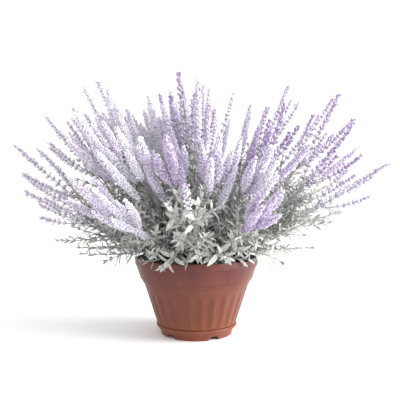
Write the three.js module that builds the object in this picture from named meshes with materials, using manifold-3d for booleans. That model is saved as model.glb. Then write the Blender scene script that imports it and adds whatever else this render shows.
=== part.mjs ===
// Potted Russian sage: a fluted plastic pot in its clip-on saucer, filled with potting mix, and a plant of
// leafy shoots and flowering stems that spring from one woody crown. Each flowering stem carries a panicle,
// which is a main flower spike with a side spike to its left and right.
// Millimetres, +Z up. The origin is on the ground under the middle of the pot, and the front is towards -Y.
import * as THREE from "three";
import { mergeVertices } from "three/addons/utils/BufferGeometryUtils.js";
import Module from "manifold-3d";

const wasm = await Module();
wasm.setup();

// Driving dimensions ---------------------------------------------------------------------------------------

const clearance = 0.3; // gap kept wherever two pieces meet
const cutOver = 1; // how far a cutter runs past what it cuts

const pot = {
  height: 123, // ground to the top of the lip
  rimRadius: 100,
  lipHeight: 11.5,
  lipStep: 1.8, // how far the lip stands out from the collar
  lipTop: 3.2, // width of the lip's upper edge
  lipRound: 1.2,
  collarHeight: 22.5,
  collarTaper: 7.4,
  collarStep: 2.2,
  bandHeight: 5,
  bandTaper: 1.3,
  bandStep: 1.3,
  bodyFootRadius: 63.8, // body just above the saucer
  wall: 2,
  floor: 2.4,
  seatTaper: 3, // the foot that stands in the saucer
  seatChamfer: 2,
  flutes: 26,
  fluteDepth: 1.3,
  fluteFade: 7, // height over which a flute runs out at each end
  fluteFootGap: 1, // plain wall below the flutes
  fluteTopGap: 12, // plain wall between the flutes and the band
  drainRadius: 5,
  drainHoles: 5,
  drainCircle: 34,
  segments: 78, // 3 to a flute
  innerSegments: 39, // also of the soil inside
  drainSegments: 12,
};

const saucer = {
  height: 17,
  wall: 1.7,
  floor: 1.8,
  footHeight: 6,
  footRadius: 57.4,
  footWall: 3,
  footDraft: 1,
  bossRadius: 9, // middle support, which also reaches the ground
  lipHeight: 3.4,
  lipStep: 0.9,
  archWidth: 15,
  archHeight: 5.4,
  archTop: 9, // width of an arch's flat top
  arches: 5,
  archBearing: -62, // of the first arch, in degrees
  segments: 60,
};

const soil = {
  headspace: 19, // lip down to the soil
  crownRise: 2, // the soil is heaped by this much towards the crown
};

const crown = {
  radius: 26,
  sink: 4, // centre of the dome below the soil line
  dome: 130, // how far the dome goes round below, in degrees from its top
  rootDepth: 34,
  rootRadius: 7,
  segments: 24,
  domeSteps: 8,
};

const stem = {
  radius: 1.6,
  sides: 6,
  steps: 6,
  leafPairs: [0.48, 0.66, 0.84], // where its leaf pairs are, as shares of the stem below the flowers
  leafSizes: [1, 0.85, 0.65],
};

const panicle = {
  share: 0.44, // of a flowering stem's length
  stalkRadius: 1.1,
  stalkShare: 0.2, // of a spike's length, below its flowers
  branches: [
    // the two pairs of side spikes: where each leaves the main one, and its length as a share of that one's
    { height: 7, share: 0.74 },
    { height: 10, share: 0.6 },
    { height: 14, share: 0.74 },
    { height: 17, share: 0.6 },
  ],
  branchAngle: 38,
  branchEndAngle: 7,
  branchTurn: 0.4, // share of a side spike before it turns upwards
  fullRadius: 8.8,
  openRadius: 6,
  sideThinness: 0.85,
  outline: [
    // share of the flowers' length, share of the radius
    [0.14, 1],
    [0.6, 0.86],
    [0.93, 0.4],
  ],
  sides: 5,
};

const twig = {
  radius: 1.3,
  sides: 5,
  steps: 7,
  leafPairs: [0.3, 0.47, 0.64, 0.81, 0.97],
  leafSizes: [0.8, 1, 0.95, 0.8, 0.6],
};

const leaf = {
  length: 28,
  width: 6.6,
  thickness: 1.6,
  angle: 48, // between a leaf and its stem
};

// Flowering stems. bearing is the compass bearing of the tip (0 is +X, anticlockwise), lean is how far the
// tip stands from upright as seen from the crown's centre, length is the way from there to the tip, and
// upturn is by how much the stem straightens up on its way. All angles are in degrees.
const floweringStems = [
  // left, from low to high
  { bearing: -168, lean: 64, length: 298, upturn: 8, spike: "open" },
  { bearing: 179, lean: 55, length: 366, upturn: 16, spike: "open" },
  { bearing: 171, lean: 45, length: 372, upturn: 12, spike: "open" },
  { bearing: 160, lean: 34, length: 380, upturn: 8, spike: "open" },
  { bearing: -160, lean: 38, length: 312, upturn: 8, spike: "full" },
  { bearing: 176, lean: 25, length: 340, upturn: 30, spike: "full" },
  // front, from left to right
  { bearing: -146, lean: 55, length: 258, upturn: 12, spike: "full" },
  { bearing: -124, lean: 60, length: 250, upturn: 14, spike: "full" },
  { bearing: -135, lean: 36, length: 268, upturn: 6, spike: "full" },
  { bearing: -108, lean: 33, length: 243, upturn: 6, spike: "full" },
  { bearing: -93, lean: 57, length: 256, upturn: 20, spike: "open" },
  { bearing: -76, lean: 33, length: 243, upturn: 6, spike: "full" },
  { bearing: -60, lean: 59, length: 250, upturn: 10, spike: "full" },
  { bearing: -50, lean: 41, length: 248, upturn: 6, spike: "full" },
  // right, from low to high
  { bearing: -8, lean: 60, length: 344, upturn: 8, spike: "open" },
  { bearing: 2, lean: 46, length: 360, upturn: 26, spike: "open" },
  { bearing: -16, lean: 27, length: 305, upturn: 30, spike: "open" },
  { bearing: 19, lean: 28, length: 358, upturn: 10, spike: "open" },
  { bearing: 16, lean: 40, length: 410, upturn: 28, spike: "open" },
  // middle
  { bearing: -140, lean: 7, length: 318, upturn: -8, spike: "open" },
  { bearing: 84, lean: 19, length: 350, upturn: 8, spike: "open" },
  { bearing: 130, lean: 24, length: 338, upturn: 10, spike: "full" },
  // back
  { bearing: 66, lean: 50, length: 315, upturn: 14, spike: "full" },
  { bearing: 122, lean: 52, length: 325, upturn: 14, spike: "open" },
];

// Leafy shoots, which have no flowers: the same values, with the droop of the ones that arch over the lip
// as an upturn below zero.
const leafyShoots = [
  { bearing: -155, lean: 84, length: 150, upturn: -54 },
  { bearing: -108, lean: 83, length: 142, upturn: -52 },
  { bearing: -72, lean: 82, length: 138, upturn: -50 },
  { bearing: -34, lean: 84, length: 152, upturn: -56 },
  { bearing: 32, lean: 80, length: 146, upturn: -48 },
  { bearing: 112, lean: 82, length: 148, upturn: -52 },
  { bearing: -92, lean: 33, length: 150, upturn: -12 },
  { bearing: 58, lean: 36, length: 160, upturn: -10 },
];

const colours = {
  terracotta: { color: 0x93604f, roughness: 0.45, metalness: 0 },
  saucerClay: { color: 0x8a5340, roughness: 0.45, metalness: 0 },
  soil: { color: 0x2e241d, roughness: 1, metalness: 0 },
  bark: { color: 0x8b8272, roughness: 0.9, metalness: 0 },
  stem: { color: 0xc4c8bf, roughness: 0.85, metalness: 0 },
  leaf: { color: 0xaeb5aa, roughness: 0.85, metalness: 0 },
  lilac: { color: 0xbfaed2, roughness: 0.9, metalness: 0 },
};

// Places that several pieces share -------------------------------------------------------------------------

const saucerFloorTop = saucer.footHeight + saucer.floor;
const potFoot = saucerFloorTop + clearance;
const shoulder = saucer.height + clearance; // underside of the body, over the saucer's lip
const lipFoot = pot.height - pot.lipHeight;
const collarFoot = lipFoot - pot.collarHeight;
const bandFoot = collarFoot - pot.bandHeight;
const collarTopRadius = pot.rimRadius - pot.lipStep;
const collarFootRadius = collarTopRadius - pot.collarTaper;
const bandTopRadius = collarFootRadius - pot.collarStep;
const bandFootRadius = bandTopRadius - pot.bandTaper;
const bodyTopRadius = bandFootRadius - pot.bandStep;
const saucerInnerRadius = pot.bodyFootRadius - clearance;
const seatTopRadius = saucerInnerRadius - saucer.wall - clearance;
const seatFootRadius = seatTopRadius - pot.seatTaper;
const fluteFoot = shoulder + pot.fluteFootGap;
const fluteTop = bandFoot - pot.fluteTopGap;
const soilTop = pot.height - soil.headspace;
const crownCentre = new THREE.Vector3(0, 0, soilTop - crown.sink);

// Solids ---------------------------------------------------------------------------------------------------

const up = new THREE.Vector3(0, 0, 1);
const rad = THREE.MathUtils.degToRad;

// A three.js geometry as a manifold-3d solid.
function solidOf(geometry) {
  const bare = geometry.clone();
  bare.deleteAttribute("normal");
  bare.deleteAttribute("uv");
  const merged = mergeVertices(bare, 1e-4);
  const mesh = new wasm.Mesh({
    numProp: 3,
    vertProperties: merged.attributes.position.array,
    triVerts: new Uint32Array(merged.index.array),
  });
  return new wasm.Manifold(mesh);
}

// A manifold-3d solid as a three.js geometry.
function geometryOf(solid) {
  const { vertProperties, triVerts } = solid.getMesh();
  const geometry = new THREE.BufferGeometry();
  geometry.setAttribute("position", new THREE.BufferAttribute(vertProperties, 3));
  geometry.setIndex(new THREE.BufferAttribute(triVerts, 1));
  geometry.computeVertexNormals();
  return geometry;
}

// A solid of revolution about Z from [radius, height] points that start and end on the axis.
function turned(profile, segments) {
  const points = profile.map(([radius, height]) => new THREE.Vector2(radius, height));
  return new THREE.LatheGeometry(points, segments).rotateX(Math.PI / 2);
}

// The direction at a compass bearing and a lean from upright, both in degrees.
function direction(bearing, lean) {
  const out = Math.sin(rad(lean));
  return new THREE.Vector3(Math.cos(rad(bearing)) * out, Math.sin(rad(bearing)) * out, Math.cos(rad(lean)));
}

// Pot ------------------------------------------------------------------------------------------------------

// The pot's inner wall, from the floor up, as [radius, height].
const innerWall = [
  [seatFootRadius - pot.wall, potFoot + pot.floor],
  [seatTopRadius - pot.wall, shoulder],
  [pot.bodyFootRadius - pot.wall, shoulder + pot.wall],
  [bodyTopRadius - pot.wall, bandFoot],
  [bandTopRadius - pot.wall, collarFoot],
  [collarTopRadius - pot.lipTop, lipFoot],
  [pot.rimRadius - pot.lipTop, pot.height],
];

// The radius of a wall of [radius, height] points at a height.
function radiusAt(wall, height) {
  const above = wall.findIndex(([, pointHeight]) => pointHeight > height);
  const [low, high] = [wall[above - 1], wall[above]];
  return THREE.MathUtils.mapLinear(height, low[1], high[1], low[0], high[0]);
}

// The outside of the body, which the flutes are pressed into.
const bodyWall = [
  [pot.bodyFootRadius, shoulder],
  [bodyTopRadius, bandFoot],
];

function potProfile() {
  const fluteHeights = [
    fluteFoot,
    fluteFoot + pot.fluteFade / 2,
    fluteFoot + pot.fluteFade,
    fluteTop - pot.fluteFade,
    fluteTop - pot.fluteFade / 2,
    fluteTop,
  ];
  return [
    [0, potFoot],
    [seatFootRadius - pot.seatChamfer, potFoot],
    [seatFootRadius, potFoot + pot.seatChamfer],
    [seatTopRadius, shoulder],
    [pot.bodyFootRadius, shoulder],
    ...fluteHeights.map((height) => [radiusAt(bodyWall, height), height]),
    [bodyTopRadius, bandFoot],
    [bandFootRadius, bandFoot],
    [bandTopRadius, collarFoot],
    [collarFootRadius, collarFoot],
    [collarTopRadius, lipFoot],
    [pot.rimRadius, lipFoot],
    [pot.rimRadius, pot.height - pot.lipRound],
    [pot.rimRadius - pot.lipRound, pot.height],
    [0, pot.height],
  ];
}

// Presses the flutes into the outside of the body: full depth in the middle, fading out at both ends.
function flute(geometry) {
  const position = geometry.attributes.position;
  for (let i = 0; i < position.count; i++) {
    const [x, y, z] = [position.getX(i), position.getY(i), position.getZ(i)];
    if (z <= fluteFoot || z >= fluteTop) continue;
    const toEnd = Math.min(z - fluteFoot, fluteTop - z);
    const fade = THREE.MathUtils.smoothstep(toEnd, 0, pot.fluteFade);
    const wave = (1 - Math.cos(pot.flutes * Math.atan2(y, x))) / 2;
    const share = 1 - (wave * fade * pot.fluteDepth) / Math.hypot(x, y);
    position.setXY(i, x * share, y * share);
  }
  return geometry;
}

function makePot() {
  const [rimInnerRadius] = innerWall.at(-1);
  const cavity = [
    [0, potFoot + pot.floor],
    ...innerWall,
    [rimInnerRadius, pot.height + cutOver],
    [0, pot.height + cutOver],
  ];
  let shell = solidOf(flute(turned(potProfile(), pot.segments)));
  shell = shell.subtract(solidOf(turned(cavity, pot.innerSegments)));
  const drain = new THREE.CylinderGeometry(
    pot.drainRadius,
    pot.drainRadius,
    pot.floor + 2 * cutOver,
    pot.drainSegments,
  )
    .rotateX(Math.PI / 2)
    .translate(pot.drainCircle, 0, potFoot + pot.floor / 2);
  for (let i = 0; i < pot.drainHoles; i++) {
    shell = shell.subtract(solidOf(drain.clone().rotateZ((i / pot.drainHoles) * 2 * Math.PI)));
  }
  return geometryOf(shell);
}

// Saucer ---------------------------------------------------------------------------------------------------

function makeSaucer() {
  const outerRadius = saucerInnerRadius + saucer.wall;
  const lipStart = saucer.height - saucer.lipHeight;
  const footInnerRadius = saucer.footRadius - saucer.footWall;
  const plate = turned(
    [
      [0, 0],
      [saucer.bossRadius, 0],
      [saucer.bossRadius, saucer.footHeight],
      [footInnerRadius, saucer.footHeight],
      [footInnerRadius, 0],
      [saucer.footRadius, 0],
      [saucer.footRadius + saucer.footDraft, saucer.footHeight],
      [outerRadius - saucer.lipStep, lipStart],
      [outerRadius, lipStart],
      [outerRadius, saucer.height],
      [saucerInnerRadius, saucer.height],
      [seatTopRadius + clearance, saucer.height - saucer.wall],
      [seatFootRadius + clearance, saucerFloorTop],
      [0, saucerFloorTop],
    ],
    saucer.segments,
  );
  const arch = new THREE.Shape([
    new THREE.Vector2(-saucer.archWidth / 2, -cutOver),
    new THREE.Vector2(saucer.archWidth / 2, -cutOver),
    new THREE.Vector2(saucer.archTop / 2, saucer.archHeight),
    new THREE.Vector2(-saucer.archTop / 2, saucer.archHeight),
  ]);
  // The ring is curved, so the middle of an arch is further out than its ends.
  const bulge = saucer.footRadius - Math.sqrt(saucer.footRadius ** 2 - (saucer.archWidth / 2) ** 2);
  const depth = bulge + saucer.footWall + saucer.footDraft + 2 * cutOver;
  const cutter = new THREE.ExtrudeGeometry(arch, { depth, bevelEnabled: false })
    .rotateX(Math.PI / 2)
    .rotateZ(Math.PI / 2)
    .translate(footInnerRadius - bulge - cutOver, 0, 0);
  let solid = solidOf(plate);
  for (let i = 0; i < saucer.arches; i++) {
    const bearing = rad(saucer.archBearing + (i * 360) / saucer.arches);
    solid = solid.subtract(solidOf(cutter.clone().rotateZ(bearing)));
  }
  return geometryOf(solid);
}

// Crown and soil -------------------------------------------------------------------------------------------

// The woody crown: a dome that the stems leave square to its surface, and a short root below it. The
// soil's socket is the same shape, larger by the clearance.
function crownGeometry(grow) {
  const radius = crown.radius + grow;
  const root = [
    [0, -crown.rootDepth - grow],
    [crown.rootRadius + grow, -crown.rootDepth - grow],
  ];
  const dome = Array.from({ length: crown.domeSteps }, (_, i) => {
    const angle = rad(crown.dome * (1 - i / crown.domeSteps));
    return [radius * Math.sin(angle), radius * Math.cos(angle)];
  });
  return turned([...root, ...dome, [0, radius]], crown.segments).translate(...crownCentre.toArray());
}

// The soil keeps off the pot by the clearance, both outwards and downwards.
function makeSoil() {
  const side = innerWall
    .filter(([, height]) => height + clearance < soilTop)
    .map(([radius, height]) => [radius - clearance, height + clearance]);
  const fill = turned(
    [
      [0, potFoot + pot.floor + clearance],
      ...side,
      [radiusAt(innerWall, soilTop - clearance) - clearance, soilTop],
      [crown.radius, soilTop + soil.crownRise],
      [0, soilTop + soil.crownRise],
    ],
    pot.innerSegments,
  );
  return geometryOf(solidOf(fill).subtract(solidOf(crownGeometry(clearance))));
}

// Stems and flower spikes ----------------------------------------------------------------------------------

// A shoot's centreline: it stays in the upright plane of its bearing while its lean turns evenly from one
// value to another. The curve is true to length, so a share of it is a share of its length.
class ShootCurve extends THREE.Curve {
  constructor({ bearing, lean, endLean, length, start }) {
    super();
    Object.assign(this, { lean: rad(lean), turn: rad(endLean - lean), length, start });
    this.outward = direction(bearing, 90);
  }

  getPoint(t, target = new THREE.Vector3()) {
    const { lean, turn, length } = this;
    const straight = Math.abs(turn) < 1e-4;
    const end = lean + turn * t;
    const out = straight ? t * Math.sin(lean) : (Math.cos(lean) - Math.cos(end)) / turn;
    const rise = straight ? t * Math.cos(lean) : (Math.sin(end) - Math.sin(lean)) / turn;
    return target
      .copy(this.start)
      .addScaledVector(this.outward, out * length)
      .addScaledVector(up, rise * length);
  }
}

// The stretch of a curve between two shares of its length.
class Stretch extends THREE.Curve {
  constructor(whole, from, to) {
    super();
    Object.assign(this, { whole, from, to });
  }

  getPoint(t, target = new THREE.Vector3()) {
    return this.whole.getPoint(this.from + (this.to - this.from) * t, target);
  }
}

function tube(curve, radius, sides, steps) {
  const corners = Array.from({ length: sides }, (_, i) => {
    const angle = (i / sides) * 2 * Math.PI;
    return new THREE.Vector2(radius * Math.cos(angle), radius * Math.sin(angle));
  });
  const section = new THREE.Shape(corners);
  return new THREE.ExtrudeGeometry(section, { steps, bevelEnabled: false, extrudePath: curve });
}

// Bends a solid that stands on the origin along +Z, height long, so that its axis follows the curve.
function bendAlong(geometry, curve, height) {
  const position = geometry.attributes.position;
  const chord = curve.getPoint(1).sub(curve.getPoint(0)).normalize();
  const helper = Math.abs(chord.x) < Math.SQRT1_2 ? new THREE.Vector3(1, 0, 0) : new THREE.Vector3(0, 1, 0);
  const aside = helper.cross(chord).normalize();
  const point = new THREE.Vector3();
  for (let i = 0; i < position.count; i++) {
    point.fromBufferAttribute(position, i);
    const share = THREE.MathUtils.clamp(point.z / height, 0, 1);
    const along = curve.getTangent(share);
    const right = aside.clone().addScaledVector(along, -aside.dot(along)).normalize();
    const front = along.clone().cross(right);
    const centre = curve.getPoint(share);
    centre.addScaledVector(right, point.x).addScaledVector(front, point.y);
    position.setXYZ(i, centre.x, centre.y, centre.z);
  }
  return geometry;
}

// One flower spike on its stalk, tapering to a point: the outer shape of its whorls of flowers.
function spike(curve, length, radius) {
  const foot = panicle.stalkShare * length;
  const flowers = length - foot;
  const profile = [
    [0, 0],
    [panicle.stalkRadius, 0],
    [panicle.stalkRadius, foot],
    ...panicle.outline.map(([height, width]) => [radius * width, foot + flowers * height]),
    [0, length],
  ];
  return bendAlong(turned(profile, panicle.sides), curve, length);
}

// The direction at an angle from along towards aside.
function slant(along, aside, angle) {
  return along.clone().multiplyScalar(Math.cos(rad(angle))).addScaledVector(aside, Math.sin(rad(angle)));
}

// The curve of a side spike: it leaves the main one at the branch angle, and then turns upwards.
function sideCurve(main, mainLength, branchHeight, length, aside) {
  const share = branchHeight / mainLength;
  const along = main.getTangent(share);
  const start = main.getPoint(share);
  const turnLength = length * panicle.branchTurn;
  const turn = start.clone().addScaledVector(slant(along, aside, panicle.branchAngle), turnLength);
  const tip = turn.clone().addScaledVector(slant(along, aside, panicle.branchEndAngle), length - turnLength);
  return new THREE.QuadraticBezierCurve3(start, turn, tip);
}

// A shoot's own curve, which leaves the crown square to its surface.
function shootCurve({ bearing, lean, length, upturn }) {
  const startLean = lean + upturn / 2;
  const start = crownCentre
    .clone()
    .addScaledVector(direction(bearing, startLean), crown.radius + clearance);
  const endLean = lean - upturn / 2;
  return new ShootCurve({ bearing, lean: startLean, endLean, length: length - crown.radius, start });
}

// A flowering stem as its two stretches, below and within the flowers.
function planFloweringStem(row) {
  const curve = shootCurve(row);
  const foot = 1 - panicle.share;
  const mainLength = panicle.share * curve.length;
  return {
    ...stem,
    curve: new Stretch(curve, 0, foot - clearance / curve.length),
    mainCurve: new Stretch(curve, foot, 1),
    mainLength,
    spikeRadius: row.spike === "full" ? panicle.fullRadius : panicle.openRadius,
  };
}

// Side spikes and leaves grow to where they have the most room. For that, everything that is already
// there is kept as balls along its curve.
const ballSpacing = 6;
const turnsTried = 12;

function ballsAlong(curve, radius) {
  const count = Math.ceil(curve.getLength() / ballSpacing);
  const ballAt = (_, i) => new THREE.Sphere(curve.getPoint(i / count), radius);
  return Array.from({ length: count + 1 }, ballAt);
}

function roomBetween(balls, others) {
  let room = Infinity;
  for (const ball of balls) {
    for (const other of others) {
      room = Math.min(room, ball.center.distanceTo(other.center) - ball.radius - other.radius);
    }
  }
  return room;
}

// Tries a whorl of so many pieces at each turn about its stem, and returns the one with the most room.
function roomiestWhorl(curve, share, others, count, pieceTowards) {
  const along = curve.getTangent(share);
  const level = new THREE.Vector3().crossVectors(up, along).normalize();
  const step = (2 * Math.PI) / count;
  let best = { room: -Infinity };
  for (let turn = 0; turn < turnsTried; turn++) {
    const whorl = Array.from({ length: count }, (_, i) => {
      const aside = level.clone().applyAxisAngle(along, step * (i + turn / turnsTried));
      return pieceTowards(aside, i);
    });
    const balls = whorl.flatMap((piece) => piece.balls);
    const room = roomBetween(balls, others);
    if (room > best.room) best = { room, whorl, balls };
  }
  return best;
}

function placeSideSpikes(shoot, others) {
  const { mainCurve, mainLength, spikeRadius } = shoot;
  const { whorl, balls } = roomiestWhorl(mainCurve, 0, others, panicle.branches.length, (aside, i) => {
    const { height, share } = panicle.branches[i];
    const length = mainLength * share;
    const curve = sideCurve(mainCurve, mainLength, height, length, aside);
    return { curve, length, balls: ballsAlong(curve, spikeRadius * panicle.sideThinness) };
  });
  shoot.sideSpikes = whorl;
  shoot.balls.push(...balls);
}

function placeLeaves(shoot, others) {
  shoot.leaves = shoot.leafPairs.flatMap((share, rank) => {
    const size = shoot.leafSizes[rank];
    const foot = shoot.curve.getPoint(share);
    const along = shoot.curve.getTangent(share);
    const { whorl, balls } = roomiestWhorl(shoot.curve, share, others, 2, (aside) => {
      const point = slant(along, aside, leaf.angle);
      const midrib = new THREE.LineCurve3(foot, foot.clone().addScaledVector(point, leaf.length * size));
      return { foot, along, point, size, balls: ballsAlong(midrib, (leaf.width * size) / 2) };
    });
    shoot.balls.push(...balls);
    return whorl;
  });
}

// The pot's lip, as balls.
function ballsOfLip() {
  const reach = pot.rimRadius - pot.lipTop / 2;
  const count = Math.ceil((2 * Math.PI * reach) / ballSpacing);
  return Array.from({ length: count }, (_, i) => {
    const centre = direction((i / count) * 360, 90).multiplyScalar(reach);
    return new THREE.Sphere(centre.setZ(pot.height - pot.lipTop), pot.lipTop);
  });
}

// Adds side spikes and leaves to all the shoots in turn.
function furnish(floweringOnes, leafyOnes) {
  const all = [...floweringOnes, ...leafyOnes];
  const lip = ballsOfLip();
  for (const shoot of all) {
    shoot.balls = ballsAlong(shoot.curve, shoot.radius);
    if (shoot.mainCurve) shoot.balls.push(...ballsAlong(shoot.mainCurve, shoot.spikeRadius));
  }
  const ballsBut = (shoot) => [
    ...lip,
    ...all.filter((other) => other !== shoot).flatMap((other) => other.balls),
  ];
  for (const shoot of floweringOnes) placeSideSpikes(shoot, ballsBut(shoot));
  for (const shoot of all) placeLeaves(shoot, ballsBut(shoot));
}

function leafBlade({ foot, along, point, size }) {
  const across = along.clone().cross(point).normalize();
  const through = point.clone().cross(across);
  const length = leaf.length * size;
  const blade = new THREE.OctahedronGeometry(0.5)
    .scale(length, leaf.width * size, leaf.thickness)
    .translate(length / 2, 0, 0);
  const turn = new THREE.Matrix4().makeBasis(point, across, through).setPosition(foot);
  return blade.applyMatrix4(turn);
}

function makeLeafyStem({ curve, radius, sides, steps, leaves }) {
  let solid = solidOf(tube(curve, radius, sides, steps));
  for (const one of leaves) solid = solid.add(solidOf(leafBlade(one)));
  return geometryOf(solid);
}

function makePanicle({ mainCurve, mainLength, sideSpikes, spikeRadius }) {
  let solid = solidOf(spike(mainCurve, mainLength, spikeRadius));
  for (const { curve, length } of sideSpikes) {
    solid = solid.add(solidOf(spike(curve, length, spikeRadius * panicle.sideThinness)));
  }
  return geometryOf(solid);
}

// Assembly -------------------------------------------------------------------------------------------------

const plantInPot = new THREE.Group();

function place(name, geometry, colour) {
  const mesh = new THREE.Mesh(geometry, new THREE.MeshStandardMaterial(colours[colour]));
  mesh.name = name;
  plantInPot.add(mesh);
}

const numbered = (name, index) => `${name}_${String(index + 1).padStart(2, "0")}`;

place("saucer", makeSaucer(), "saucerClay");
place("pot", makePot(), "terracotta");
place("potting_soil", makeSoil(), "soil");
place("crown", crownGeometry(0), "bark");

const flowering = floweringStems.map(planFloweringStem);
const leafy = leafyShoots.map((row) => ({ ...twig, curve: shootCurve(row) }));
furnish(flowering, leafy);
flowering.forEach((shoot, index) => {
  place(numbered("stem", index), makeLeafyStem(shoot), "stem");
  place(numbered("flower_panicle", index), makePanicle(shoot), "lilac");
});
leafy.forEach((shoot, index) => {
  place(numbered("leafy_shoot", index), makeLeafyStem(shoot), "leaf");
});

export default plantInPot;
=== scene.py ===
import math

import bmesh
import bpy
import numpy as np
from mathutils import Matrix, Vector


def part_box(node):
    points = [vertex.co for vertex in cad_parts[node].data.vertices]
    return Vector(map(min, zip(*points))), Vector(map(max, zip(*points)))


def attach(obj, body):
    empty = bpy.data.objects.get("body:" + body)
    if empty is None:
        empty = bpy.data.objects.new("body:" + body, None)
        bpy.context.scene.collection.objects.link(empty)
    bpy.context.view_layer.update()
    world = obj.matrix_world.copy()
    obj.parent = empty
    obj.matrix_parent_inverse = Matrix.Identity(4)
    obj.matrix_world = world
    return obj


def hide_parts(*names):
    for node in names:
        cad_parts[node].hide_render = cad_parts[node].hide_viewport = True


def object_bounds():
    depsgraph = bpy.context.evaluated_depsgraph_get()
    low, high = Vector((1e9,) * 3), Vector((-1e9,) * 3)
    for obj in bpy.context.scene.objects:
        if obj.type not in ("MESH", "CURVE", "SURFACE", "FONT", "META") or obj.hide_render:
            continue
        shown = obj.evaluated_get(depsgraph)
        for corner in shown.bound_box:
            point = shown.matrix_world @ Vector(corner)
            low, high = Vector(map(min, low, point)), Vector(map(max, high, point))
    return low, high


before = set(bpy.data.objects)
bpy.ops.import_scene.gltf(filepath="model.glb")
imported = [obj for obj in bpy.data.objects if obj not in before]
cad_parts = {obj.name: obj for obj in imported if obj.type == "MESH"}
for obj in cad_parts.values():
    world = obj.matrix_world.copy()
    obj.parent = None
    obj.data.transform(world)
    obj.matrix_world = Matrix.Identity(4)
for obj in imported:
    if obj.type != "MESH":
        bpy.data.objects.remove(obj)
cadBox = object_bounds()
print("frame loaded:", len(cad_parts), "nodes")


def unit(vectors):
    return vectors / np.linalg.norm(vectors, axis=-1, keepdims=True)


def blendValues(low, high, share):
    return low + (high - low) * share


def smooth(share):
    share = np.clip(share, 0, 1)
    return share * share * (3 - 2 * share)


def tint(red, green, blue):  # 0 to 255 as on a screen, to the linear colour that a shader takes
    return tuple(((c / 255 + 0.055) / 1.055) ** 2.4 for c in (red, green, blue)) + (1.0,)


class Signal:  # a number that changes over the surface
    def __init__(self, paint, socket):
        self.paint, self.socket = paint, socket

    def maths(self, operation, first, second):
        return self.paint.node("Math", {"operation": operation}, {0: first, 1: second})

    def __add__(self, other):
        return self.maths("ADD", self, other)

    def __sub__(self, other):
        return self.maths("SUBTRACT", self, other)

    def __rsub__(self, other):
        return self.maths("SUBTRACT", other, self)

    def __mul__(self, other):
        return self.maths("MULTIPLY", self, other)

    __radd__ = __add__
    __rmul__ = __mul__


class Paint:  # one material with a Principled surface
    def __init__(self, name):
        self.material = bpy.data.materials.new(name)
        self.material.use_nodes = True
        self.tree = self.material.node_tree
        self.shader = self.tree.nodes["Principled BSDF"]

    def fill(self, socket, value):
        if isinstance(value, Signal):
            self.tree.links.new(value.socket, socket)
        else:
            socket.default_value = value

    def node(self, kind, settings=None, inputs=None, output=0):
        made = self.tree.nodes.new("ShaderNode" + kind)
        for name, value in (settings or {}).items():
            if name == "stops":
                self.setStops(made.color_ramp, value)
            else:
                setattr(made, name, value)
        for key, value in (inputs or {}).items():
            self.fill(made.inputs[key], value)
        return Signal(self, made.outputs[output])

    def setStops(self, ramp, stops):
        while len(ramp.elements) < len(stops):
            ramp.elements.new(1)
        for element, (position, colour) in zip(ramp.elements, stops):
            element.position, element.color = position, colour

    def noise(self, scale, detail, roughness, stretch=(1, 1, 1)):
        place = self.node("TexCoord", output=3)
        stretched = self.node("VectorMath", {"operation": "MULTIPLY"}, {0: place, 1: stretch})
        inputs = {"Vector": stretched, "Scale": scale, "Detail": detail, "Roughness": roughness}
        return self.node("TexNoise", {}, inputs)

    def attribute(self, name):
        return self.node("Attribute", {"attribute_name": name}, output=2)

    def height(self):  # above the ground
        return self.node("SeparateXYZ", {}, {0: self.node("TexCoord", output=3)}, output=2)

    def ramp(self, value, stops):
        return self.node("ValToRGB", {"stops": stops}, {0: value})

    def band(self, value, low, high):  # 0 below low, 1 above high
        inputs = {0: value, 1: low, 2: high, 3: 0.0, 4: 1.0}
        return self.node("MapRange", {"interpolation_type": "SMOOTHSTEP"}, inputs)

    def mix(self, factor, first, second):
        return self.node("Mix", {"data_type": "RGBA"}, {0: factor, 6: first, 7: second}, output=2)

    def bump(self, height, strength, distance):
        return self.node("Bump", {}, {"Height": height, "Strength": strength, "Distance": distance})

    def surface(self, values):
        for name, value in values.items():
            self.fill(self.shader.inputs[name], value)
        return self.material


class Growth:  # gathers many closed shapes, each a stack of rings, and makes one mesh of them
    def __init__(self):
        self.points, self.faces, self.marks, self.total = [], [], {}, 0

    def add(self, rings, **marks):  # rings has the axes shape, ring, side and x y z
        count, steps, sides = rings.shape[:3]
        index = np.arange(count * steps * sides).reshape(count, steps, sides) + self.total
        after = np.roll(index, -1, axis=2)
        walls = np.stack([index[:, :-1], after[:, :-1], after[:, 1:], index[:, 1:]], axis=-1)
        self.faces.append(walls.reshape(-1, 4))
        for i in range(1, sides - 2, 2):  # both ends are closed by quads
            corners = [0, i, i + 1, i + 2]
            self.faces.append(index[:, -1, corners])
            self.faces.append(index[:, 0, corners[::-1]])
        self.points.append(rings.reshape(-1, 3))
        self.total += count * steps * sides
        for name, value in marks.items():
            full = np.broadcast_to(value, (count, steps, sides)).reshape(-1)
            self.marks.setdefault(name, []).append(full)
        return self

    def build(self, name, material):
        points, faces = np.concatenate(self.points), np.concatenate(self.faces)
        mesh = bpy.data.meshes.new(name)
        mesh.vertices.add(len(points))
        mesh.vertices.foreach_set("co", points.astype(np.float32).ravel())
        mesh.loops.add(faces.size)
        mesh.loops.foreach_set("vertex_index", faces.astype(np.int32).ravel())
        mesh.polygons.add(len(faces))
        mesh.polygons.foreach_set("loop_start", np.arange(0, faces.size, 4, dtype=np.int32))
        mesh.polygons.foreach_set("use_smooth", np.ones(len(faces), dtype=bool))
        for mark, parts in self.marks.items():
            layer = mesh.attributes.new(mark, "FLOAT", "POINT")
            layer.data.foreach_set("value", np.concatenate(parts).astype(np.float32))
        mesh.update(calc_edges=True)
        mesh.materials.append(material)
        piece = bpy.data.objects.new(name, mesh)
        bpy.context.collection.objects.link(piece)
        return piece


def finishPiece(piece, slot, *nodes):
    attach(piece, "root")
    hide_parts(*nodes)
    return piece


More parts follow.
